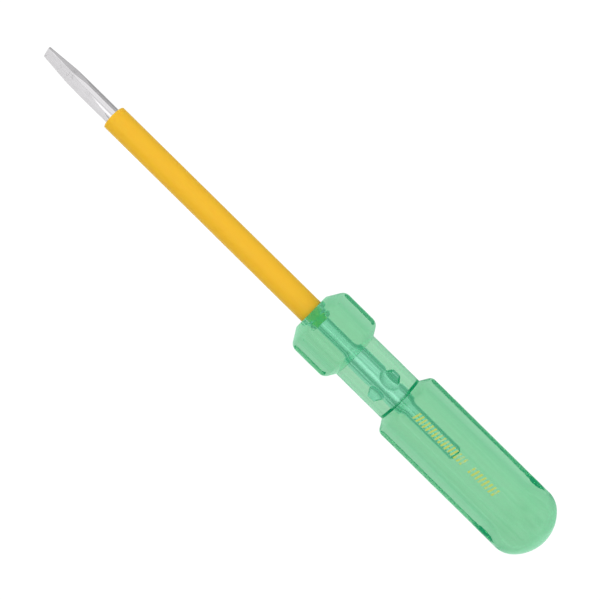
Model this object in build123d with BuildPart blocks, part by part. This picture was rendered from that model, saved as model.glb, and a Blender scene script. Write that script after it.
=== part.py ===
from build123d import *
from math import atan2, degrees, radians, sqrt, tan
import os

# An insulated flat screwdriver, lying along X with its tip towards +X.
# The origin is on the tool's axis at the handle's front face. Z is up, and one flute
# of the handle faces straight up, so the tool rests on the two lands beside the lowest
# flute. A roll angle is counted about X from +Z towards +Y.

# Blade: a steel rod with a flat tip in front and a tang held in the handle
rod_diameter = 6.0
blade_length = 125.0  # from the handle's front face to the tip
tang_depth = 68.0  # from the handle's front face to the tang's end
tang_chamfer = 0.8
tip_width = 4.4
tip_thickness = 1.0
flat_length = 32.0  # over which the two flats rise to the rod's surface
side_length = 18.5  # over which the two sides widen to the rod's diameter
tip_roll = 45.0  # of the flats

# Swaging: four punch marks squeeze two wings out of the tang, and they key the handle
swage_depth = 34.7  # from the handle's front face to the middle of the wings
wing_roll = 117.0
wing_root_length = 5.8
wing_edge_length = 2.9
wing_height = 1.55  # above the rod's surface
wing_thickness = 1.4
punch_mark_turn = 32.0  # between a wing and the mark on each side of it
punch_mark_length = 8.4
punch_mark_width = 4.1

# Insulating sleeve: a plastic tube over the rod
sleeve_wall = 1.6
sleeve_length = 93.5  # from the handle's front face to the mouth
sleeve_seat_depth = 5.2  # of the drawn-in end that is seated in the handle
sleeve_seat_step = 0.6  # by which that end is smaller in radius
sleeve_mouth_round = 0.4

# Handle: one turned and fluted bar of clear plastic, with a collar, a neck and a grip
handle_length = 110.0
handle_diameter = 26.0
front_face_diameter = 14.4
bore_mouth_chamfer = 0.7  # so that the front face starts outside the sleeve
cone_angle = 58.5  # between the axis and the cones beside the collar and the grip
collar_length = 18.2
collar_round = 3.2
neck_length = 21.6
neck_diameter = 18.0
neck_round = 0.6
grip_round = 2.2
dome_length = 10.35
dome_round = 8.2
flute_count = 6
flute_radius = 26.0
flute_depth = 1.3
flute_end_gap = 2.6  # of full round bar between the flutes and the dome

# Fits and overruns
fit_gap = 0.02  # round each joint
overrun = 5.0  # by which a cut runs past what it cuts

rod_radius = rod_diameter / 2
sleeve_radius = rod_radius + sleeve_wall
sleeve_seat_radius = sleeve_radius - sleeve_seat_step
handle_radius = handle_diameter / 2
front_face_radius = front_face_diameter / 2
neck_radius = neck_diameter / 2


def rolled_plane(roll):
    """The plane through the tool's axis whose own Y points in the direction of a roll angle."""
    return Plane.XZ.rotated((-roll, 0, 0))


def wedge_points(length, half_size):
    """The metal above one sloping face of the tip, which leaves half_size at the tip."""
    start = blade_length - length
    end = blade_length + overrun
    top = rod_radius + overrun
    return [
        (start, rod_radius),
        (blade_length, half_size),
        (end, half_size),
        (end, top),
        (start, top),
    ]


def wing_points(gap):
    """The two wings and the rod between them, seen square to the wings and grown by a gap."""
    half_root = wing_root_length / 2 + gap
    half_edge = wing_edge_length / 2 + gap
    surface = rod_radius + gap
    top = surface + wing_height
    upper = [
        (-half_root - swage_depth, surface),
        (-half_edge - swage_depth, top),
        (half_edge - swage_depth, top),
        (half_root - swage_depth, surface),
    ]
    lower = [(x, -y) for x, y in reversed(upper)]
    return upper + lower


punch_mark_depth = rod_radius - sqrt(rod_radius**2 - (punch_mark_width / 2) ** 2)
punch_radius = ((punch_mark_length / 2) ** 2 + punch_mark_depth**2) / (2 * punch_mark_depth)
punch_centre = rod_radius - punch_mark_depth + punch_radius


def swaged_rod(front, gap):
    """The rod from the tang's end to its front, with marks and wings, grown by a gap."""
    with BuildPart() as rod:
        with BuildSketch(Plane.YZ.offset(-tang_depth - gap)):
            Circle(rod_radius + gap)
        extrude(amount=tang_depth + gap + front)
        chamfer(rod.edges().group_by(Axis.X)[0], tang_chamfer)
        # the punch marks: a wide round groove on each side of each wing
        for turn in (-punch_mark_turn, punch_mark_turn):
            with BuildSketch(rolled_plane(wing_roll + turn)):
                with Locations((-swage_depth, punch_centre), (-swage_depth, -punch_centre)):
                    Circle(punch_radius - gap)
            extrude(amount=rod_radius + overrun, both=True, mode=Mode.SUBTRACT)
        # the wings
        with BuildSketch(rolled_plane(wing_roll)):
            Polygon(*wing_points(gap), align=None)
        extrude(amount=wing_thickness / 2 + gap, both=True)
    return rod.part


# Blade
plain_rod = swaged_rod(blade_length, 0)

with BuildPart() as blade:
    add(plain_rod)
    # the flats and the sides of the tip
    for roll, length, size in (
        (tip_roll, flat_length, tip_thickness),
        (tip_roll + 90, side_length, tip_width),
    ):
        with BuildSketch(rolled_plane(roll)):
            Polygon(*wedge_points(length, size / 2), align=None)
            mirror(about=Plane.XZ)
        extrude(amount=rod_radius + overrun, both=True, mode=Mode.SUBTRACT)
blade.part.label = "blade"

# Insulating sleeve
with BuildPart() as insulating_sleeve:
    with BuildSketch(Plane.YZ):
        Circle(sleeve_radius)
    extrude(amount=sleeve_length)
    fillet(insulating_sleeve.edges().group_by(Axis.X)[-1], sleeve_mouth_round)
    with BuildSketch(Plane.YZ):
        Circle(sleeve_seat_radius)
    extrude(amount=-sleeve_seat_depth)
    with BuildSketch(Plane.YZ.offset(-sleeve_seat_depth)):
        Circle(rod_radius + fit_gap)
    extrude(amount=sleeve_seat_depth + sleeve_length, mode=Mode.SUBTRACT)
insulating_sleeve.part.label = "insulating_sleeve"

# Handle: one lathe section holds its outside and the sleeve's seat
cone_slope = tan(radians(cone_angle))
neck_start = collar_length + (handle_radius - neck_radius) / cone_slope
neck_end = neck_start + neck_length
grip_start = neck_end + (handle_radius - neck_radius) / cone_slope
dome_start = handle_length - dome_length
# the round cap that ends the dome square to the axis and runs smoothly into the dome's edge
dome_end_radius = (dome_length**2 + handle_radius**2 - 2 * handle_radius * dome_round) / (
    2 * (dome_length - dome_round)
)
dome_turn = degrees(atan2(dome_end_radius - dome_length, handle_radius - dome_round))
flute_end = dome_start - flute_end_gap
flute_centre = handle_radius - flute_depth + flute_radius
flute_runout = sqrt(flute_radius**2 - (flute_radius - flute_depth) ** 2)
seat_bore_radius = sleeve_seat_radius + fit_gap
tang_space = swaged_rod(overrun, fit_gap)

with BuildPart() as handle:
    with BuildSketch(Plane.XZ):
        with BuildLine():
            FilletPolyline(
                (0, front_face_radius),
                (-(handle_radius - front_face_radius) / cone_slope, handle_radius),
                (-collar_length, handle_radius),
                (-neck_start, neck_radius),
                (-neck_end, neck_radius),
                (-grip_start, handle_radius),
                (-dome_start, handle_radius),
                radius=[collar_round, collar_round, neck_round, neck_round, grip_round],
            )
            dome_edge = JernArc((-dome_start, handle_radius), (-1, 0), dome_round, dome_turn)
            RadiusArc(dome_edge @ 1, (-handle_length, 0), -dome_end_radius)
            Polyline(
                (-handle_length, 0),
                (-sleeve_seat_depth - fit_gap, 0),
                (-sleeve_seat_depth - fit_gap, seat_bore_radius),
                (-bore_mouth_chamfer, seat_bore_radius),
                (0, seat_bore_radius + bore_mouth_chamfer),
                (0, front_face_radius),
            )
        make_face()
    revolve(axis=Axis.X)
    # the flutes, each of which runs out at the back in a ball end
    with BuildSketch(Plane.YZ.offset(flute_runout - flute_end)):
        with PolarLocations(flute_centre, flute_count, start_angle=90):
            Circle(flute_radius)
    extrude(amount=flute_end + overrun, mode=Mode.SUBTRACT)
    with Locations(Plane.YZ.offset(flute_runout - flute_end)):
        with PolarLocations(flute_centre, flute_count, start_angle=90):
            Sphere(flute_radius, mode=Mode.SUBTRACT)
    # the space that the tang, its marks and its wings fill
    add(tang_space, mode=Mode.SUBTRACT)
handle.part.label = "handle"

os.makedirs("parts", exist_ok=True)
export_step(blade.part, "parts/blade.step")
export_step(insulating_sleeve.part, "parts/insulating_sleeve.step")
export_step(handle.part, "parts/handle.step")
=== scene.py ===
"""Dresses an insulated flat screwdriver: steel blade, yellow sleeve, clear green handle.

The tool lies along X with its tip towards +X, and its axis is the X axis. A roll is an
angle about X, counted from +Z towards +Y. Every length is in metres.
"""

import logging
import math
from abc import ABC, abstractmethod
from dataclasses import dataclass, field
from enum import Enum

import bpy
import numpy as np
from mathutils import Matrix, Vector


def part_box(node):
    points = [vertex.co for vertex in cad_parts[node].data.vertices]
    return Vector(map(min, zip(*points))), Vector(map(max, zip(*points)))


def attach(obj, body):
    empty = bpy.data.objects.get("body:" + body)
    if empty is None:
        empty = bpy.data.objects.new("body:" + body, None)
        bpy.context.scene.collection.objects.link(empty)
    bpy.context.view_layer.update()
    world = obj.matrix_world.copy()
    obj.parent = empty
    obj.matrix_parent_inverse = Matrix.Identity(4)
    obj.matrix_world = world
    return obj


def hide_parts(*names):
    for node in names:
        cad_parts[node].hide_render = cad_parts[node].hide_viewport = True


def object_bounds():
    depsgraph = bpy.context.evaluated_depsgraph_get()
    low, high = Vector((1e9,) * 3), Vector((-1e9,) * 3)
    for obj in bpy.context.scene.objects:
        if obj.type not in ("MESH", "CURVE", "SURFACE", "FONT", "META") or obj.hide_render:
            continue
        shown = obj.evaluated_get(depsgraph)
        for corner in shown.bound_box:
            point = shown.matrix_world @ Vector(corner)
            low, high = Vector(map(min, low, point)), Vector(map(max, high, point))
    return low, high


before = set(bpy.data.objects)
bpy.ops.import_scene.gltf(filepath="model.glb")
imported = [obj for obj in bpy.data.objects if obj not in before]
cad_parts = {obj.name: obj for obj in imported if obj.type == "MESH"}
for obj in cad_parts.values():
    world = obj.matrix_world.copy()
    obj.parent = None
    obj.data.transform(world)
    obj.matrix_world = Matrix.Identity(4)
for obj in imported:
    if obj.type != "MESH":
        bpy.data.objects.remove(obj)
CAD_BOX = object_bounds()

LOG = logging.getLogger("screwdriver")
MM = 0.001
TURN = 2 * math.pi
CIRCLE = 360.0  # degrees in a turn
TINY = 1e-9  # keeps a division or a comparison safe
COLUMNS = 288  # round each turned or forged surface

Colour = tuple[float, float, float]
Strips = tuple[tuple[float, float], ...]
Socket = bpy.types.NodeSocket


class End(Enum):
    """How a row of points at the end of a grid is finished."""

    POLE = "pole"
    OPEN = "open"


def smooth_min(first: np.ndarray, second: np.ndarray, width: float) -> np.ndarray:
    """Takes the lower of two heights and rounds the crease between them.

    Within `width` of equal, the result dips below both by a parabola: the lower value less
    a quarter of the width times the square of the closeness, from 0 to 1.

    Args:
        first: One height.
        second: The other height, of a shape that fits the first.
        width: How near the two are where the rounding starts.

    Returns:
        The rounded lower height.
    """
    closeness = np.clip(1 - np.abs(first - second) / width, 0, 1)
    return np.minimum(first, second) - closeness**2 * width / 4


def smooth_max(first: np.ndarray, second: np.ndarray, width: float) -> np.ndarray:
    """Takes the higher of two heights and fills the crease between them with a fillet."""
    return -smooth_min(-first, -second, width)


def rounded_line(corners: list[tuple[float, float, float]], arc_steps: int) -> np.ndarray:
    """Draws a line through corners and rounds each one with its own arc.

    An arc of radius r starts r times the tangent of half the turn before its corner. Its
    points are the arc's centre plus r times the unit direction, which turns steadily.

    Args:
        corners: Each corner as (along, out, radius), with radius 0 for a sharp one.
        arc_steps: Steps in each arc.

    Returns:
        The points of the line, of shape (points, 2).
    """
    points = [np.array(corners[0][:2])]
    for before, corner, after in zip(corners, corners[1:], corners[2:]):
        here, radius = np.array(corner[:2]), corner[2]
        arriving = here - np.array(before[:2])
        leaving = np.array(after[:2]) - here
        arriving /= np.linalg.norm(arriving)
        leaving /= np.linalg.norm(leaving)
        cross = arriving[0] * leaving[1] - arriving[1] * leaving[0]
        turn = math.atan2(cross, float(arriving @ leaving))
        if radius == 0 or abs(turn) < TINY:
            points.append(here)
            continue
        side = math.copysign(1, turn)
        normal = side * np.array([-arriving[1], arriving[0]])
        start = here - arriving * radius * math.tan(abs(turn) / 2)
        angles = np.linspace(0, abs(turn), arc_steps + 1)[:, None]
        arc = start + radius * (np.sin(angles) * arriving + (1 - np.cos(angles)) * normal)
        points.extend(arc)
    points.append(np.array(corners[-1][:2]))
    return np.array(points)


def spread_rows(line: np.ndarray, longest: float) -> np.ndarray:
    """Adds points to a line so that no step is longer than a limit.

    Args:
        line: Points of shape (points, 2).
        longest: The longest step that is left.

    Returns:
        The line with each long step cut into equal ones.
    """
    steps = np.linalg.norm(np.diff(line, axis=0), axis=1)
    cuts = np.maximum(1, np.ceil(steps / longest - TINY)).astype(int)
    index = np.repeat(np.arange(len(steps)), cuts)
    first = np.concatenate([[0], np.cumsum(cuts)[:-1]])
    share = (np.arange(len(index)) - first[index]) / cuts[index]
    points = line[index] + share[:, None] * (line[index + 1] - line[index])
    return np.vstack([points, line[-1]])


def polar_points(along: np.ndarray, out: np.ndarray, roll: np.ndarray) -> np.ndarray:
    """Places points by their distance along the axis, distance out from it, and roll.

    A point is (along, out times the roll's sine, out times the roll's cosine).
    """
    along, out, roll = np.broadcast_arrays(along, out, roll)
    return np.stack([along, out * np.sin(roll), out * np.cos(roll)], axis=-1)


def closed_grid(
    name: str,
    points: np.ndarray,
    ends: tuple[End, End] = (End.POLE, End.POLE),
    sharp_degrees: float = 35.0,
) -> bpy.types.Object:
    """Makes a mesh from rows of points that each close on themselves.

    Point (row, column) joins its neighbours in the next row and the next column by a
    quad, and the last column joins the first. A pole is the mean of the end row, joined
    to it by a fan. Columns turn from +Z to +Y, and rows run towards +X on an outside.

    Args:
        name: The object's name.
        points: Points of shape (rows, columns, 3).
        ends: How the first and the last row are closed.
        sharp_degrees: Edges that turn by more than this are shaded sharp.

    Returns:
        The new object, linked to the scene.
    """
    rows, columns = points.shape[:2]
    index = np.arange(rows * columns).reshape(rows, columns)
    beside = np.roll(index, -1, axis=1)
    quads = np.stack([index[:-1], index[1:], beside[1:], beside[:-1]], axis=-1).reshape(-1, 4)
    vertices, faces = [points.reshape(-1, 3)], quads.tolist()
    for row, end, turned in ((0, ends[0], False), (rows - 1, ends[1], True)):
        if end is End.OPEN:
            continue
        pole = sum(len(part) for part in vertices)
        vertices.append(points[row].mean(axis=0, keepdims=True))
        near, far = (beside[row], index[row]) if turned else (index[row], beside[row])
        faces.extend(np.stack([np.full(columns, pole), near, far], axis=-1).tolist())
    return add_mesh(name, np.vstack(vertices), faces, sharp_degrees)


def add_mesh(
    name: str, vertices: np.ndarray, faces: list[list[int]], sharp_degrees: float
) -> bpy.types.Object:
    """Puts vertices and faces into a new smooth-shaded object at the origin.

    Args:
        name: The object's name.
        vertices: Points of shape (vertices, 3).
        faces: The corners of each face, by number.
        sharp_degrees: Edges that turn by more than this are shaded sharp.

    Returns:
        The new object, linked to the scene.
    """
    mesh = bpy.data.meshes.new(name)
    mesh.from_pydata(vertices.tolist(), [], faces)
    mesh.update()
    mesh.shade_smooth()
    mesh.set_sharp_from_angle(angle=math.radians(sharp_degrees))
    thing = bpy.data.objects.new(name, mesh)
    bpy.context.scene.collection.objects.link(thing)
    return thing


# Shader helpers


MIX_SHARE, MIX_FIRST, MIX_SECOND, MIX_RESULT = 0, 6, 7, 2  # the Mix node's colour sockets


class Nodes:
    """Adds nodes to one node tree and links them in short calls."""

    def __init__(self, tree: bpy.types.NodeTree) -> None:
        """Starts on a tree."""
        self.tree = tree

    def put(self, target: Socket, value: object) -> None:
        """Gives an input its value.

        Args:
            target: The input.
            value: A socket, which is linked, or a constant. A colour is an RGB triple.
        """
        if isinstance(value, Socket):
            self.tree.links.new(value, target)
        elif target.type == "RGBA":
            target.default_value = (*value, 1.0)
        else:
            target.default_value = value

    def fill(self, node: bpy.types.Node, **values: object) -> None:
        """Gives a node's inputs their values, by name with spaces written as underscores."""
        for key, value in values.items():
            self.put(node.inputs[key.replace("_", " ")], value)

    def add(self, kind: str, **values: object) -> bpy.types.Node:
        """Adds a node.

        Args:
            kind: The node's type name.
            values: Its properties by name, and its inputs by name as in `fill`.

        Returns:
            The new node.
        """
        node = self.tree.nodes.new(kind)
        for key, value in values.items():
            if hasattr(node, key):
                setattr(node, key, value)
            else:
                self.fill(node, **{key: value})
        return node

    def math(self, operation: str, first: object, second: object = 0.0) -> Socket:
        """Adds a Math node.

        Args:
            operation: Its operation's name.
            first: Its first input, a socket or a value.
            second: Its second input, a socket or a value.

        Returns:
            Its result.
        """
        node = self.add("ShaderNodeMath", operation=operation)
        self.put(node.inputs[0], first)
        self.put(node.inputs[1], second)
        return node.outputs[0]

    def stretched(self, place: Socket, factors: object) -> Socket:
        """Multiplies a place by one factor for each axis, a socket or a triple."""
        node = self.add("ShaderNodeVectorMath", operation="MULTIPLY")
        self.put(node.inputs[0], place)
        self.put(node.inputs[1], factors)
        return node.outputs[0]

    def span(self, value: Socket, low: float, high: float) -> Socket:
        """Maps 0 to 1 onto low to high."""
        node = self.add("ShaderNodeMapRange", Value=value, To_Min=low, To_Max=high)
        return node.outputs["Result"]

    def share(self, value: Socket, start: float, stop: float) -> Socket:
        """Maps start to stop onto 0 to 1."""
        node = self.add("ShaderNodeMapRange", Value=value, From_Min=start, From_Max=stop)
        return node.outputs["Result"]

    def blend(self, share: object, first: object, second: object) -> Socket:
        """Mixes two colours.

        Args:
            share: The second colour's share, a socket or a value.
            first: One colour, a socket or an RGB triple.
            second: The other colour, a socket or an RGB triple.

        Returns:
            The mix.
        """
        node = self.add("ShaderNodeMix", data_type="RGBA")
        self.put(node.inputs[MIX_SHARE], share)
        self.put(node.inputs[MIX_FIRST], first)
        self.put(node.inputs[MIX_SECOND], second)
        return node.outputs[MIX_RESULT]


def new_group(
    name: str, inputs: dict[str, float], outputs: tuple[str, ...]
) -> tuple[Nodes, bpy.types.Node, bpy.types.Node]:
    """Starts a shader node group with named value sockets.

    Args:
        name: The group's name.
        inputs: Each input's name and default value. It also gets a Position vector.
        outputs: The names of its value outputs.

    Returns:
        The group's node helper, its input node and its output node.
    """
    tree = bpy.data.node_groups.new(name, "ShaderNodeTree")
    tree.interface.new_socket("Position", in_out="INPUT", socket_type="NodeSocketVector")
    for label, value in inputs.items():
        socket = tree.interface.new_socket(label, in_out="INPUT", socket_type="NodeSocketFloat")
        socket.default_value = value
    for label in outputs:
        tree.interface.new_socket(label, in_out="OUTPUT", socket_type="NodeSocketFloat")
    nodes = Nodes(tree)
    return nodes, nodes.add("NodeGroupInput"), nodes.add("NodeGroupOutput")


def build_streaks() -> bpy.types.NodeTree:
    """Fine streaks along the tool, as drawing, grinding or extruding leaves them.

    The position is squeezed along X by Stretch, so that round noise becomes long streaks.
    Streak runs from 0 to 1, and Cloud is the same noise at an eighth of the scale.

    Returns:
        The group's node tree.
    """
    inputs = {"Scale": 2000.0, "Stretch": 0.03}
    nodes, inside, out = new_group("streaks", inputs, ("Streak", "Cloud"))
    squeeze = nodes.add("ShaderNodeCombineXYZ", X=inside.outputs["Stretch"], Y=1.0, Z=1.0)
    place = nodes.stretched(inside.outputs["Position"], squeeze.outputs[0])
    fine = inside.outputs["Scale"]
    coarse = nodes.math("MULTIPLY", fine, 1 / 8)
    for label, scale, detail in (("Streak", fine, 3.0), ("Cloud", coarse, 2.0)):
        noise = nodes.add("ShaderNodeTexNoise", Vector=place, Scale=scale, Detail=detail)
        nodes.put(out.inputs[label], noise.outputs["Fac"])
    return nodes.tree


def build_handling() -> bpy.types.NodeTree:
    """Faint marks of handling: hair scratches in two directions and soft smudges.

    A scratch is the thin band where stretched noise crosses its middle value. It shows
    only where the smudges are thick.

    Returns:
        The group's node tree.
    """
    inputs = {"Scale": 400.0, "Width": 0.012}
    nodes, inside, out = new_group("handling", inputs, ("Scratch", "Smudge"))
    place, scale = inside.outputs["Position"], inside.outputs["Scale"]
    middle, thick = 0.5, 0.56
    lines = 0.0
    for factors in ((0.22, 1.0, 1.0), (1.0, 0.3, 0.3)):
        stretched = nodes.stretched(place, factors)
        noise = nodes.add("ShaderNodeTexNoise", Vector=stretched, Scale=scale, Detail=1.0)
        apart = nodes.math("ABSOLUTE", nodes.math("SUBTRACT", noise.outputs["Fac"], middle))
        line = nodes.math("LESS_THAN", apart, inside.outputs["Width"])
        lines = nodes.math("MAXIMUM", lines, line)
    half = nodes.math("MULTIPLY", scale, 1 / 2)
    smudges = nodes.add("ShaderNodeTexNoise", Vector=place, Scale=half, Detail=2.0)
    kept = nodes.math("GREATER_THAN", smudges.outputs["Fac"], thick)
    nodes.put(out.inputs["Scratch"], nodes.math("MULTIPLY", lines, kept))
    nodes.put(out.inputs["Smudge"], smudges.outputs["Fac"])
    return nodes.tree


@dataclass(frozen=True)
class Marks:
    """The two shader groups that the finishes share."""

    streaks: bpy.types.NodeTree
    handling: bpy.types.NodeTree

    @staticmethod
    def build() -> "Marks":
        """Builds both groups once."""
        return Marks(build_streaks(), build_handling())


@dataclass(frozen=True)
class Finish(ABC):
    """What every finish starts from: a material with one Principled shader."""

    name: str

    def start(self) -> tuple[bpy.types.Material, Nodes, bpy.types.Node, Socket]:
        """Makes the material.

        Returns:
            The material, its node helper, its Principled shader and Object coordinates.
        """
        material = bpy.data.materials.new(self.name)
        material.use_nodes = True
        nodes = Nodes(material.node_tree)
        shader = material.node_tree.nodes["Principled BSDF"]
        place = nodes.add("ShaderNodeTexCoord").outputs["Object"]
        return material, nodes, shader, place

    @abstractmethod
    def build(self, marks: Marks) -> bpy.types.Material:
        """Makes the finish with the shared marks."""


@dataclass(frozen=True)
class StreakedFinish(Finish):
    """A finish with fine streaks along the tool."""

    streak_scale: float = 2000.0
    streak_stretch: float = 0.02
    streak_strength: float = 0.3
    streak_depth: float = 0.01 * MM

    def streak(
        self, nodes: Nodes, shader: bpy.types.Node, place: Socket, marks: Marks
    ) -> bpy.types.Node:
        """Adds the streaks and presses them into the surface as bump.

        Args:
            nodes: The material's node helper.
            shader: Its Principled shader.
            place: Object coordinates.
            marks: The shared shader groups.

        Returns:
            The streaks' group node.
        """
        streaks = nodes.add("ShaderNodeGroup", node_tree=marks.streaks, Position=place)
        nodes.fill(streaks, Scale=self.streak_scale, Stretch=self.streak_stretch)
        bump = nodes.add(
            "ShaderNodeBump",
            Height=streaks.outputs["Streak"],
            Strength=self.streak_strength,
            Distance=self.streak_depth,
        )
        nodes.fill(shader, Normal=bump.outputs["Normal"])
        return streaks


@dataclass(frozen=True)
class SteelFinish(StreakedFinish):
    """Bright drawn and ground steel."""

    streak_scale: float = 3500.0
    streak_strength: float = 0.25
    streak_depth: float = 0.004 * MM
    light: Colour = (0.80, 0.785, 0.80)
    dark: Colour = (0.66, 0.65, 0.665)
    # painted reflection: the green that the steel reflects from the plastic around the tang
    tang: Colour = (0.62, 0.90, 0.87)
    tang_span: tuple[float, float] = (-0.5 * MM, -1.5 * MM)
    roughness: tuple[float, float] = (0.14, 0.26)
    scratch_roughness: float = 0.15

    def build(self, marks: Marks) -> bpy.types.Material:
        """Makes the steel: streaks along the rod change colour, gloss and height a little.

        The tang is painted a little greener: a painted reflection of the green plastic around
        it.

        Args:
            marks: The shared shader groups.

        Returns:
            The material.
        """
        material, nodes, shader, place = self.start()
        streaks = self.streak(nodes, shader, place, marks)
        handling = nodes.add("ShaderNodeGroup", node_tree=marks.handling, Position=place)
        shade = nodes.blend(streaks.outputs["Cloud"], self.light, self.dark)
        along = nodes.add("ShaderNodeSeparateXYZ", Vector=place).outputs["X"]
        # inside the handle the steel takes a painted green reflection of the plastic around it
        colour = nodes.blend(nodes.share(along, *self.tang_span), shade, self.tang)
        rough = nodes.span(streaks.outputs["Streak"], *self.roughness)
        worn = nodes.math("MULTIPLY", handling.outputs["Scratch"], self.scratch_roughness)
        rough = nodes.math("ADD", rough, worn)
        nodes.fill(shader, Base_Color=colour, Roughness=rough, Metallic=1.0)
        return material


@dataclass(frozen=True)
class SleeveFinish(StreakedFinish):
    """Smooth yellow plastic tube with faint extrusion lines."""

    streak_scale: float = 1400.0
    streak_stretch: float = 0.012
    colour: Colour = (0.95, 0.50, 0.012)
    pale: Colour = (0.99, 0.55, 0.022)
    # painted light: the green cast of light through the collar, on the sleeve's seated end
    painted_green_cast: Colour = (0.50, 0.73, 0.01)
    painted_cast_span: tuple[float, float] = (-0.1 * MM, -1.5 * MM)
    roughness: tuple[float, float] = (0.38, 0.52)
    gloss: float = 0.3
    glow: float = 0.5
    glow_reach: tuple[float, float, float] = (1.0, 0.8, 0.3)
    glow_scale: float = 2.5 * MM

    def build(self, marks: Marks) -> bpy.types.Material:
        """Makes the yellow plastic. Its seated end, inside the collar, is painted green: painted
        light, the green of the light that reaches it through the collar.

        Args:
            marks: The shared shader groups.

        Returns:
            The material.
        """
        material, nodes, shader, place = self.start()
        streaks = self.streak(nodes, shader, place, marks)
        handling = nodes.add("ShaderNodeGroup", node_tree=marks.handling, Position=place)
        shade = nodes.blend(streaks.outputs["Cloud"], self.colour, self.pale)
        along = nodes.add("ShaderNodeSeparateXYZ", Vector=place).outputs["X"]
        # the seated end's green is painted light, the cast of light through the green collar
        nodes.fill(
            shader,
            Base_Color=nodes.blend(nodes.share(along, *self.painted_cast_span), shade, self.painted_green_cast),
            Roughness=nodes.span(handling.outputs["Smudge"], *self.roughness),
            Specular_IOR_Level=self.gloss,
            Subsurface_Weight=self.glow,
            Subsurface_Radius=self.glow_reach,
            Subsurface_Scale=self.glow_scale,
        )
        return material


@dataclass(frozen=True)
class ClearFinish(StreakedFinish):
    """Clear green plastic that takes light away with depth."""

    streak_scale: float = 900.0
    streak_strength: float = 0.5
    streak_depth: float = 0.03 * MM
    streak_span: tuple[float, float] = (0.45, 0.75)
    keeps: Colour = (0.59, 0.80, 0.62)
    density: float = 100.0
    clear: Colour = (1.0, 1.0, 1.0)
    lined: Colour = (0.80, 0.90, 0.84)
    ior: float = 1.48
    roughness: tuple[float, float] = (0.01, 0.05)
    gloss_tint: Colour = (0.3, 1.0, 0.6)
    bloom: float = 0.5
    bloom_tint: Colour = (0.0, 1.0, 0.45)

    def build(self, marks: Marks) -> bpy.types.Material:
        """Makes the clear plastic. A soft green bloom stands for its slightly milky body.

        Args:
            marks: The shared shader groups.

        Returns:
            The material.
        """
        material, nodes, shader, place = self.start()
        streaks = self.streak(nodes, shader, place, marks)
        handling = nodes.add("ShaderNodeGroup", node_tree=marks.handling, Position=place)
        lines = nodes.share(streaks.outputs["Streak"], *self.streak_span)
        nodes.fill(
            shader,
            Base_Color=nodes.blend(lines, self.clear, self.lined),
            Roughness=nodes.span(handling.outputs["Smudge"], *self.roughness),
            Transmission_Weight=1.0,
            IOR=self.ior,
            Specular_Tint=self.gloss_tint,
            Sheen_Weight=self.bloom,
            Sheen_Roughness=1.0,
            Sheen_Tint=self.bloom_tint,
        )
        depth = nodes.add("ShaderNodeVolumeAbsorption", Color=self.keeps, Density=self.density)
        output = material.node_tree.nodes["Material Output"]
        nodes.fill(output, Volume=depth.outputs["Volume"])
        return material


@dataclass(frozen=True)
class FoilFinish(Finish):
    """Pale gold foil, pressed on by a hot die."""

    colour: Colour = (0.47, 0.58, 0.11)
    worn: Colour = (0.34, 0.60, 0.30)
    grain: float = 1800.0
    wear_span: tuple[float, float] = (0.50, 0.66)
    roughness: tuple[float, float] = (0.25, 0.5)
    metallic: float = 0.4

    def build(self, marks: Marks) -> bpy.types.Material:
        """Makes the foil, a little worn in patches.

        Args:
            marks: The shared shader groups.

        Returns:
            The material.
        """
        material, nodes, shader, place = self.start()
        handling = nodes.add("ShaderNodeGroup", node_tree=marks.handling, Position=place)
        nodes.fill(handling, Scale=self.grain)
        smudge = handling.outputs["Smudge"]
        nodes.fill(
            shader,
            Base_Color=nodes.blend(nodes.share(smudge, *self.wear_span), self.colour, self.worn),
            Roughness=nodes.span(smudge, *self.roughness),
            Metallic=self.metallic,
        )
        return material


# The pieces


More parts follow.
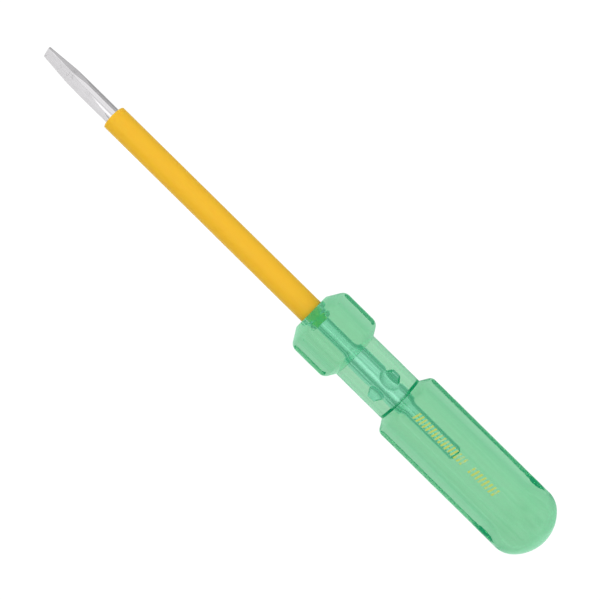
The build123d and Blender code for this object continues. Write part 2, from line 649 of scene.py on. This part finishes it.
@dataclass
class Blade:
    """The steel rod: a ground tip in front, and a tang with wings and punch marks behind."""

    radius: float = 3.0 * MM
    tip_width: float = 4.4 * MM
    tip_thickness: float = 1.0 * MM
    flat_length: float = 32.0 * MM
    side_length: float = 18.5 * MM
    tip_roll: float = math.radians(45)
    tang_chamfer: float = 0.8 * MM
    swage_depth: float = 34.7 * MM
    wing_roll: float = math.radians(117)
    wing_root: float = 5.8 * MM
    wing_edge: float = 2.9 * MM
    wing_height: float = 1.55 * MM
    wing_thickness: float = 1.4 * MM
    wing_round: float = 1.0 * MM
    mark_turn: float = math.radians(32)
    mark_length: float = 8.4 * MM
    mark_width: float = 4.1 * MM
    edge_break: float = 0.06 * MM
    soft: float = 0.5 * MM
    shank_rows: int = 12
    swage_rows: int = 90
    tip_rows: int = 100
    end: float = field(init=False)
    tip: float = field(init=False)

    def __post_init__(self) -> None:
        """Reads the rod's two ends from the frame."""
        low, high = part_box("blade")
        self.end, self.tip = low.x, high.x

    @property
    def swage_half(self) -> float:
        """Half the length of the forged stretch, with its soft edges."""
        return max(self.wing_root, self.mark_length) / 2 + self.soft

    def wing_reach(self, along: np.ndarray, roll: np.ndarray) -> np.ndarray:
        """How far out the wings reach at each place, or 0 beside them.

        A wing is a slab of one thickness with a sloping top. Out to its top it reaches
        top over cosine, and out to its side it reaches half the thickness over sine,
        whichever is less, and the edge between them is rounded. The top falls straight
        from its edge to the rod at its roots.

        Args:
            along: Places along the axis.
            roll: Rolls, of a shape that fits them.

        Returns:
            The reach, 0 outside the wings' length.
        """
        from_middle = np.abs(along + self.swage_depth)
        slope_length = (self.wing_root - self.wing_edge) / 2
        rise = np.clip((self.wing_root / 2 - from_middle) / slope_length, 0, 1)
        top = self.radius + self.wing_height * rise
        turn = roll - self.wing_roll
        reach = smooth_min(
            top / np.maximum(np.abs(np.cos(turn)), TINY),
            self.wing_thickness / 2 / np.maximum(np.abs(np.sin(turn)), TINY),
            self.wing_round,
        )
        return np.where(from_middle < self.wing_root / 2, reach, 0)

    def tang_radius(self, along: np.ndarray, roll: np.ndarray) -> np.ndarray:
        """The tang's radius: the rod, less four punched hollows, plus two wings.

        A hollow is a wide round groove across the rod, on each side of each wing. Its
        floor lies at the groove's centre height less the root of its radius squared less
        the place squared, and the rod is cut where that floor, over the cosine of the
        roll from it, is lower.

        Args:
            along: Places along the axis.
            roll: Rolls, of a shape that fits them.

        Returns:
            The radius at each place and roll.
        """
        floor = self.radius - math.sqrt(self.radius**2 - (self.mark_width / 2) ** 2)
        groove = ((self.mark_length / 2) ** 2 + floor**2) / (2 * floor)
        centre = self.radius - floor + groove
        place = np.clip(np.abs(along + self.swage_depth), 0, groove)
        height = centre - np.sqrt(groove**2 - place**2)
        out = np.full(np.broadcast_shapes(along.shape, roll.shape), self.radius)
        for side in (-1, 1):
            cosine = np.cos(roll - self.wing_roll - side * self.mark_turn)
            out = smooth_min(out, height / np.maximum(np.abs(cosine), TINY), self.soft / 4)
        return smooth_max(out, self.wing_reach(along, roll), self.soft)

    def tip_halves(self, along: np.ndarray) -> tuple[np.ndarray, np.ndarray]:
        """Half the thickness and half the width of the ground tip.

        Each grows straight from its size at the tip to the rod's radius, over the length
        of the flats or of the sides.

        Args:
            along: Places along the axis.

        Returns:
            The two halves at each place.
        """
        back = self.tip - along
        thick = self.tip_thickness / 2
        thick = thick + (self.radius - thick) * back / self.flat_length
        wide = self.tip_width / 2
        wide = wide + (self.radius - wide) * back / self.side_length
        return thick, wide

    def tip_rolls(self, along: np.ndarray) -> np.ndarray:
        """Rolls whose columns follow the tip's edges.

        Each quarter has a flat, a land and a side, each with its share of the columns.
        The flat ends where its line meets the rod's circle, at the arc cosine of half the
        thickness over the radius, and the side starts at the arc sine of half the width
        over the radius. Where the flat and the side meet inside the circle, the land is
        what the broken edge leaves.

        Args:
            along: Places along the axis, of shape (rows, 1).

        Returns:
            Rolls of shape (rows, columns).
        """
        thick, wide = self.tip_halves(along)
        round_off = np.minimum(self.radius, np.hypot(thick, wide) - self.edge_break)
        least = math.radians(0.4)
        flat_end = np.arccos(np.clip(thick / round_off, 0, 1))
        side_start = np.arcsin(np.clip(wide / round_off, 0, 1))
        flat_end = np.clip(flat_end, least, TURN / 4 - 3 * least)
        side_start = np.clip(side_start, flat_end + least, TURN / 4 - least)
        quarter = COLUMNS // 4
        flat_steps, land_steps = quarter // 2, quarter // 4
        knots = (0, flat_steps, flat_steps + land_steps, quarter)
        zero, full = np.zeros_like(flat_end), np.full_like(flat_end, TURN / 4)
        values = (zero, flat_end, side_start, full)
        parts = []
        for start, stop, low, high in zip(knots, knots[1:], values, values[1:]):
            share = np.arange(stop - start) / (stop - start)
            parts.append(low + (high - low) * share)
        first = np.concatenate(parts, axis=1)
        # the second quarter mirrors the first, and the second half repeats the first half
        second = TURN / 2 - np.concatenate([full, first[:, :0:-1]], axis=1)
        half = np.concatenate([first, second], axis=1)
        return np.concatenate([half, half + TURN / 2], axis=1) + self.tip_roll

    def tip_radius(self, along: np.ndarray, roll: np.ndarray) -> np.ndarray:
        """The tip's radius: the least of the round, the flat's line and the side's line.

        A line at a distance from the axis is reached at that distance over the cosine of
        the roll from it.

        Args:
            along: Places along the axis.
            roll: Rolls, of a shape that fits them.

        Returns:
            The radius at each place and roll.
        """
        thick, wide = self.tip_halves(along)
        round_off = np.minimum(self.radius, np.hypot(thick, wide) - self.edge_break)
        turn = roll - self.tip_roll
        flat = thick / np.maximum(np.abs(np.cos(turn)), TINY)
        side = wide / np.maximum(np.abs(np.sin(turn)), TINY)
        return np.minimum(round_off, np.minimum(flat, side))

    def build(self) -> bpy.types.Object:
        """Makes the rod as one closed surface from the tang's end to the tip.

        Returns:
            The rod's object.
        """
        swage = -self.swage_depth
        half = self.swage_half
        tip_start = self.tip - self.flat_length
        back = np.concatenate(
            [
                [self.end, self.end, self.end + self.tang_chamfer],
                np.linspace(self.end + 2 * self.tang_chamfer, swage - half, self.shank_rows),
                np.linspace(swage - half, swage + half, self.swage_rows)[1:],
                np.linspace(swage + half, tip_start - MM, self.shank_rows)[1:],
            ]
        )[:, None]
        even = np.arange(COLUMNS)[None, :] * TURN / COLUMNS + self.tip_roll
        out = self.tang_radius(back, even)
        out[0] = self.radius - self.tang_chamfer - self.edge_break
        out[1] = self.radius - self.tang_chamfer
        front = np.linspace(tip_start, self.tip, self.tip_rows)[:, None]
        rolls = self.tip_rolls(front)
        tip_out = self.tip_radius(front, rolls)
        points = np.concatenate(
            [polar_points(back, out, even), polar_points(front, tip_out, rolls)]
        )
        return closed_grid("blade_steel", points, sharp_degrees=25.0)


@dataclass
class Sleeve:
    """The yellow tube, its rounded mouth and its drawn-in seat inside the collar."""

    bore: float = 3.02 * MM
    seat_step: float = 0.6 * MM
    mouth_round: float = 0.4 * MM
    bore_round: float = 0.15 * MM
    wave: float = 0.02 * MM
    wave_lengths: tuple[float, float] = (9.0 * MM, 5.3 * MM)
    row_step: float = 2.0 * MM
    columns: int = 96

    def build(self) -> bpy.types.Object:
        """Turns the tube's section, which starts and ends at the bore's seated end.

        The outside is up to a hair lower in slow waves: the product of two sines, each of
        a place along it with a share of the roll.

        Returns:
            The tube's object.
        """
        low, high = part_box("insulating_sleeve")
        outer = high.z
        section = rounded_line(
            [
                (low.x, self.bore, 0),
                (low.x, outer - self.seat_step, self.bore_round),
                (0.0, outer - self.seat_step, 0),
                (0.0, outer, 0),
                (high.x, outer, self.mouth_round),
                (high.x, self.bore, self.bore_round),
                (low.x, self.bore, 0),
            ],
            arc_steps=6,
        )
        rows = spread_rows(section, self.row_step)
        along, out = rows[:-1, :1], rows[:-1, 1:]
        roll = np.arange(self.columns)[None, :] * TURN / self.columns
        long, short = self.wave_lengths
        waves = np.sin(along / long + 2 * roll) * np.sin(along / short - roll)
        outside = (out > outer - self.seat_step / 2) & (along > MM)
        out = out - np.where(outside, self.wave * (1 + waves) / 2, 0)
        points = polar_points(along, out, roll)
        points = np.concatenate([points, points[:1]])
        return closed_grid("sleeve_tube", points, ends=(End.OPEN, End.OPEN))


@dataclass
class Handle:
    """The clear bar: turned outside with six flutes, and bored for the tang and the sleeve."""

    blade: Blade
    front_radius: float = 7.2 * MM
    front_round: float = 0.4 * MM
    neck_radius: float = 9.0 * MM
    cone_angle: float = math.radians(58.5)
    collar_length: float = 18.2 * MM
    collar_round: float = 3.2 * MM
    neck_length: float = 21.6 * MM
    neck_round: float = 0.35 * MM
    grip_round: float = 2.2 * MM
    dome_length: float = 10.35 * MM
    dome_round: float = 8.2 * MM
    flutes: int = 6
    flute_radius: float = 26.0 * MM
    flute_depth: float = 1.3 * MM
    flute_end_gap: float = 2.6 * MM
    crease: float = 1.0 * MM
    ripple: float = 0.045 * MM
    ripple_waves: tuple[float, float, float] = (0.8, 1.9 * MM, 3.1 * MM)
    swirl: float = 0.05 * MM
    swirl_waves: tuple[float, float, float] = (0.7, 0.55 * MM, 0.8 * MM)
    swirl_length: float = 4.0 * MM
    seat_radius: float = 4.02 * MM
    seat_depth: float = 5.22 * MM
    mouth_chamfer: float = 0.7 * MM
    press: float = 0.01 * MM
    cap_rows: int = 30
    edge_rows: int = 24
    runout_rows: int = 64
    slot_rows: int = 60
    row_step: float = 1.6 * MM
    bore_step: float = 4.0 * MM
    crowding: float = 0.8
    length: float = field(init=False)
    radius: float = field(init=False)

    def __post_init__(self) -> None:
        """Reads the bar's length and radius from the frame."""
        low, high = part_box("handle")
        self.length, self.radius = -low.x, high.z

    @property
    def flute_centre(self) -> float:
        """Distance of a flute's own centre from the tool's axis."""
        return self.radius - self.flute_depth + self.flute_radius

    @property
    def flute_stop(self) -> float:
        """Where the flutes' straight length ends, as a place along the axis."""
        runout = math.sqrt(self.flute_radius**2 - (self.flute_radius - self.flute_depth) ** 2)
        return runout - (self.length - self.dome_length - self.flute_end_gap)

    def outline(self) -> np.ndarray:
        """The turned outside, from the dome's top to the front face's outer edge.

        The dome is an arc of its own round radius and a cap whose radius makes it end
        square to the axis: (length squared + radius squared - 2 radius round) over
        (2 (length - round)).

        Returns:
            The points of the line as (along, out), of shape (points, 2).
        """
        slope = math.tan(self.cone_angle)
        drop = (self.radius - self.neck_radius) / slope
        neck_start = self.collar_length + drop
        neck_end = neck_start + self.neck_length
        dome_start = self.length - self.dome_length
        cap = self.dome_length**2 + self.radius**2 - 2 * self.radius * self.dome_round
        cap /= 2 * (self.dome_length - self.dome_round)
        turn = math.atan2(cap - self.dome_length, self.radius - self.dome_round)
        first = np.linspace(0, TURN / 4 - turn, self.cap_rows)[1:, None]
        cap_arc = np.hstack([-self.length + cap * (1 - np.cos(first)), cap * np.sin(first)])
        second = np.linspace(turn, 0, self.edge_rows)[1:, None]
        edge_along = -dome_start - self.dome_round * np.sin(second)
        edge_out = self.radius - self.dome_round * (1 - np.cos(second))
        edge_arc = np.hstack([edge_along, edge_out])
        places = np.linspace(-dome_start, self.flute_stop + MM, self.runout_rows)[1:]
        runout = np.stack([places, np.full_like(places, self.radius)], axis=1)
        rest = rounded_line(
            [
                (self.flute_stop + 2 * MM, self.radius, 0),
                (-(neck_end + drop), self.radius, self.grip_round),
                (-neck_end, self.neck_radius, self.neck_round),
                (-neck_start, self.neck_radius, self.neck_round),
                (-self.collar_length, self.radius, self.collar_round),
                (-(self.radius - self.front_radius) / slope, self.radius, self.collar_round),
                (0.0, self.front_radius, self.front_round),
                (0.0, self.seat_radius + self.mouth_chamfer, 0),
            ],
            arc_steps=12,
        )
        return np.vstack([cap_arc, edge_arc, runout, spread_rows(rest, self.row_step)])

    def bore_line(self) -> np.ndarray:
        """The bore, from the foot of its mouth's chamfer to the edge of its floor.

        Returns:
            The points of the line as (along, out), of shape (points, 2).
        """
        blade = self.blade
        bore, bottom = blade.radius - self.press, blade.end + self.press
        half, middle = blade.swage_half, -blade.swage_depth
        seat = [(-self.mouth_chamfer, self.seat_radius), (-self.seat_depth, self.seat_radius)]
        tube = [(-self.seat_depth, bore), (middle + half, bore)]
        places = np.linspace(middle + half, middle - half, self.slot_rows)[1:]
        slot = np.stack([places, np.full_like(places, bore)], axis=1)
        rest = [(bottom + blade.tang_chamfer, bore), (bottom, bore - blade.tang_chamfer)]
        return np.vstack([spread_rows(np.array(seat + tube), self.bore_step), slot, rest])

    def flute_rolls(self) -> np.ndarray:
        """Rolls that crowd together at the flutes' edges, an equal number in each flute.

        An even roll is pulled towards the nearest flute edge by a share of the sine of
        its place between one edge and the next. Five eighths of the columns lie inside
        the flutes.

        Returns:
            Rolls of shape (1, columns).
        """
        edge = math.acos(
            (self.radius**2 + self.flute_centre**2 - self.flute_radius**2)
            / (2 * self.radius * self.flute_centre)
        )
        pitch = TURN / self.flutes
        per_flute = COLUMNS // self.flutes
        inside_count = per_flute * 5 // 8
        parts = []
        for low, high, count in (
            (-edge, edge, inside_count),
            (edge, pitch - edge, per_flute - inside_count),
        ):
            share = np.arange(count) / count
            share = share - self.crowding * np.sin(TURN * share) / TURN
            parts.append(low + (high - low) * share)
        one = np.concatenate(parts)
        return (one[None, :] + pitch * np.arange(self.flutes)[:, None]).reshape(1, -1)

    def outer_radius(self, along: np.ndarray, out: np.ndarray, roll: np.ndarray) -> np.ndarray:
        """The fluted bar's radius: the lower of the turned radius and the flute's wall.

        A flute's wall lies at centre times cosine less the root of its radius squared
        less (centre times sine) squared. Past the stop its radius shrinks as a ball's
        does: its square falls by the distance squared. Faint ripples, the product of two
        sines of slanting places, lower the whole surface by up to a hair. Shorter ones
        are added where the flutes stop, by a bell curve along the axis.

        Args:
            along: Places along the axis.
            out: The turned radius at those places.
            roll: Rolls, of a shape that fits them.

        Returns:
            The radius at each place and roll.
        """
        pitch = TURN / self.flutes
        turn = (roll + pitch / 2) % pitch - pitch / 2
        past = np.maximum(self.flute_stop - along, 0)
        square = self.flute_radius**2 - past**2 - (self.flute_centre * np.sin(turn)) ** 2
        wall = self.flute_centre * np.cos(turn) - np.sqrt(np.maximum(square, 0))
        wall = np.where(square > 0, wall, self.flute_centre)
        bar = smooth_min(np.broadcast_to(out, wall.shape), wall, self.crease)
        _, y, z = np.moveaxis(polar_points(along, bar, roll), -1, 0)
        long, short = (
            np.sin((along + slant * z) / first) * np.sin((along - y) / second)
            for slant, first, second in (self.ripple_waves, self.swirl_waves)
        )
        near_stop = np.exp(-(((along - self.flute_stop) / self.swirl_length) ** 2))
        ripples = self.ripple * (1 + long) + self.swirl * near_stop * (1 + short)
        return bar - ripples / 2

    def build(self) -> bpy.types.Object:
        """Makes the bar as one closed surface: dome, outside, front face, bore and floor.

        Returns:
            The bar's object.
        """
        line = self.outline()
        along, out = line[:, :1], line[:, 1:]
        rolls = self.flute_rolls()
        front = along > -TINY
        outside = np.where(front, out, self.outer_radius(along, out, rolls))
        bore = self.bore_line()
        bore_along, bore_out = bore[:, :1], bore[:, 1:]
        even = np.arange(COLUMNS)[None, :] * TURN / COLUMNS + rolls[0, 0]
        tang = self.blade.tang_radius(bore_along, even) - self.press
        forged = np.abs(bore_along + self.blade.swage_depth) <= self.blade.swage_half
        bore_out = np.where(forged, tang, bore_out)
        points = np.concatenate(
            [polar_points(along, outside, rolls), polar_points(bore_along, bore_out, even)]
        )
        return closed_grid("handle_clear", points, sharp_degrees=30.0)


@dataclass
class FoilMark:
    """Two rows of plain slanted foil strokes in the uppermost flute."""

    handle: Handle
    height: float = 3.0 * MM
    stroke: float = 0.7 * MM
    lean: float = 0.9 * MM
    proud: float = 0.012 * MM
    thickness: float = 0.03 * MM
    steps: int = 8
    rows: tuple[tuple[float, float, int], ...] = (
        (-48.6 * MM, -70.1 * MM, 16),
        (-74.0 * MM, -84.7 * MM, 8),
    )

    def stroke_points(self, place: float) -> np.ndarray:
        """One stroke as a thin slab on the flute's wall.

        The slab's section is a low rectangle. Its height follows the handle's own surface
        at its place and roll, where the roll is the arc tangent of the distance from the
        middle over the height of the flute's wall.

        Args:
            place: The middle of the stroke, along the axis.

        Returns:
            Points of shape (rows, 4, 3).
        """
        across = np.linspace(-self.height / 2, self.height / 2, self.steps + 1)[:, None]
        handle = self.handle
        wall = handle.flute_centre - np.sqrt(handle.flute_radius**2 - across**2)
        side = np.array([[-1, 1, 1, -1]]) * self.stroke / 2
        along = place + self.lean * across / self.height + side
        level = np.array([[1, 1, 0, 0]])
        turned = np.full(along.shape, handle.radius)
        out = handle.outer_radius(along, turned, np.arctan2(across, wall))
        top = np.sqrt(out**2 - across**2) + self.proud - (1 - level) * self.thickness
        return np.stack(np.broadcast_arrays(along, across, top), axis=-1)

    def build(self) -> bpy.types.Object:
        """Makes all the strokes as one piece.

        Returns:
            The strokes' object.
        """
        vertices, faces = [], []
        for start, stop, count in self.rows:
            for place in np.linspace(start, stop, count):
                points = self.stroke_points(float(place))
                rows, columns = points.shape[:2]
                base = sum(len(part) for part in vertices)
                index = np.arange(rows * columns).reshape(rows, columns) + base
                beside = np.roll(index, -1, axis=1)
                quads = np.stack([index[:-1], beside[:-1], beside[1:], index[1:]], axis=-1)
                faces.extend(quads.reshape(-1, 4).tolist())
                faces.append(index[0, ::-1].tolist())
                faces.append(index[-1].tolist())
                vertices.append(points.reshape(-1, 3))
        return add_mesh("foil_strokes", np.vstack(vertices), faces, 30.0)


@dataclass
class Studio:
    """A pale floor, soft strips of light along the tool, and the camera straight above it."""

    distance: float = 455.0 * MM
    lens: float = 81.0
    sensor: float = 36.0
    roll: float = math.radians(44.57)
    aim: tuple[float, float] = (5.485 * MM, -0.18 * MM)
    floor_size: float = 6.0
    floor_shade: float = 0.05
    floor_roughness: float = 0.9
    floor_span: float = 400.0
    # painted light on the floor in strips across the tool, dimmer where the tool's shadow is
    # painted
    floor_glow_and_shadow: Strips = (
        (-200, 0.90), (-105, 0.54), (-47, 0.34), (-27, 0.39), (-13, 0.46),
        (-7, 0.96), (0, 0.98), (14, 0.91), (28, 0.88), (38, 0.30),
        (55, 0.25), (70, 0.55), (105, 0.67), (150, 0.90), (200, 1.27),
    )
    sky_strips: Strips = (
        (-90, 0.45), (-76, 0.42), (-64, 1.06), (-52, 1.16), (-40, 0.93), (-28, 1.17),
        (-16, 1.02), (-5, 0.73), (4, 1.20), (12, 1.54), (21, 1.45), (31, 1.18),
        (41, 0.84), (51, 0.56), (61, 0.41), (72, 0.36), (84, 0.60), (90, 0.64),
    )

    @staticmethod
    def strips_ramp(
        nodes: Nodes, place: Socket, span: float, strips: Strips
    ) -> tuple[Socket, float]:
        """Turns a place into the strength of the strips there, and into white for the camera.

        Args:
            nodes: The node helper.
            place: The place across the strips.
            span: The width over which the strips are laid, from minus to plus a half.
            strips: Each strip's middle and strength, in order.

        Returns:
            The colour, and the strength that it is to be multiplied by.
        """
        share = nodes.math("ADD", nodes.math("DIVIDE", place, span), 0.5)
        ramp = nodes.add("ShaderNodeValToRGB", Fac=share)
        brightest = max(value for _, value in strips)
        elements = ramp.color_ramp.elements
        elements.remove(elements[1])
        elements[0].position = strips[0][0] / span + 0.5
        for middle, _ in strips[1:]:
            elements.new(middle / span + 0.5)
        for element, (_, value) in zip(elements, strips):
            level = value / brightest
            element.color = (level, level, level, 1.0)
        white = (1 / brightest,) * 3
        seen = nodes.add("ShaderNodeLightPath").outputs["Is Camera Ray"]
        return nodes.blend(seen, ramp.outputs[0], white), brightest

    def build_floor(self) -> bpy.types.Object:
        """Makes a wide floor just under the tool, of a plain pale material.

        It glows in strips along the tool: painted light, with dimmer strips beside the tool that
        are its painted shadow, and it is plain white to the camera.

        Returns:
            The floor's object.
        """
        low = CAD_BOX[0][2]
        half = self.floor_size / 2
        turns = ((-1, -1), (1, -1), (1, 1), (-1, 1))
        corners = np.array([(half * x, half * y, low) for x, y in turns])
        floor = add_mesh("floor", corners, [[0, 1, 2, 3]], sharp_degrees=30.0)
        material = bpy.data.materials.new("floor_pale")
        material.use_nodes = True
        nodes = Nodes(material.node_tree)
        shader = material.node_tree.nodes["Principled BSDF"]
        place = nodes.add("ShaderNodeTexCoord").outputs["Object"]
        parts = nodes.add("ShaderNodeSeparateXYZ", Vector=place)
        across = nodes.math("DIVIDE", parts.outputs["Y"], MM)
        # painted light and painted shadow: the floor's glow in strips across the tool
        glow, strength = self.strips_ramp(nodes, across, self.floor_span, self.floor_glow_and_shadow)
        nodes.fill(
            shader,
            Base_Color=(self.floor_shade,) * 3,
            Roughness=self.floor_roughness,
            Specular_IOR_Level=0.0,
            Emission_Color=glow,
            Emission_Strength=strength,
        )
        floor.data.materials.append(material)
        return floor

    def build_world(self) -> None:
        """Lights the room with long soft strips, side by side along the tool.

        The strength follows the direction's angle across the tool, from the zenith
        towards +Y, along the strips' list. The camera sees plain white.
        """
        world = bpy.data.worlds.new("studio")
        bpy.context.scene.world = world
        world.use_nodes = True
        nodes = Nodes(world.node_tree)
        background = world.node_tree.nodes["Background"]
        direction = nodes.add("ShaderNodeTexCoord").outputs["Generated"]
        parts = nodes.add("ShaderNodeSeparateXYZ", Vector=direction)
        angle = nodes.math("ARCTAN2", parts.outputs["Y"], parts.outputs["Z"])
        degrees = nodes.math("MULTIPLY", angle, CIRCLE / TURN)
        light, strength = self.strips_ramp(nodes, degrees, CIRCLE, self.sky_strips)
        nodes.fill(background, Color=light, Strength=strength)

    def build_camera(self) -> bpy.types.Object:
        """Places the camera above the tool, rolled so that the tip points up and left.

        Returns:
            The camera.
        """
        data = bpy.data.cameras.new("camera")
        data.lens = self.lens
        data.sensor_width = self.sensor
        data.clip_start = 0.01
        camera = bpy.data.objects.new("camera", data)
        cosine, sine = math.cos(self.roll), math.sin(self.roll)
        right, up, back = (-cosine, -sine, 0), (sine, -cosine, 0), (0, 0, 1)
        turned = Matrix((right, up, back)).transposed().to_4x4()
        camera.matrix_world = Matrix.Translation((*self.aim, self.distance)) @ turned
        bpy.context.scene.collection.objects.link(camera)
        bpy.context.scene.camera = camera
        return camera

    def build(self) -> None:
        """Builds the floor, the light and the camera, with plain colour handling."""
        self.build_floor()
        self.build_world()
        self.build_camera()
        bpy.context.scene.view_settings.view_transform = "Standard"


def place_piece(
    piece: bpy.types.Object, material: bpy.types.Material, node: str | None
) -> None:
    """Gives a piece its material and its place in the frame's table.

    Args:
        piece: The new object.
        material: Its finish.
        node: The CAD node that it stands for, if any.
    """
    piece.data.materials.append(material)
    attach(piece, "root")
    if node is not None:
        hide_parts(node)
    LOG.info("%s: %d faces", piece.name, len(piece.data.polygons))


def main() -> None:
    """Builds the studio and the tool, in order."""
    logging.basicConfig(level=logging.INFO)
    Studio().build()
    marks = Marks.build()
    blade = Blade()
    handle = Handle(blade)
    dressed = (
        (blade, SteelFinish("ground_steel"), "blade", "blade_steel"),
        (Sleeve(), SleeveFinish("yellow_plastic"), "insulating_sleeve", "sleeve_plastic"),
        (handle, ClearFinish("clear_green"), "handle", "handle_plastic"),
        (FoilMark(handle), FoilFinish("gold_foil"), None, "handle_plastic"),
    )
    for form, finish, node, slot in dressed:
        place_piece(form.build(), finish.build(marks), node)


if __name__ == "__main__":
    main()
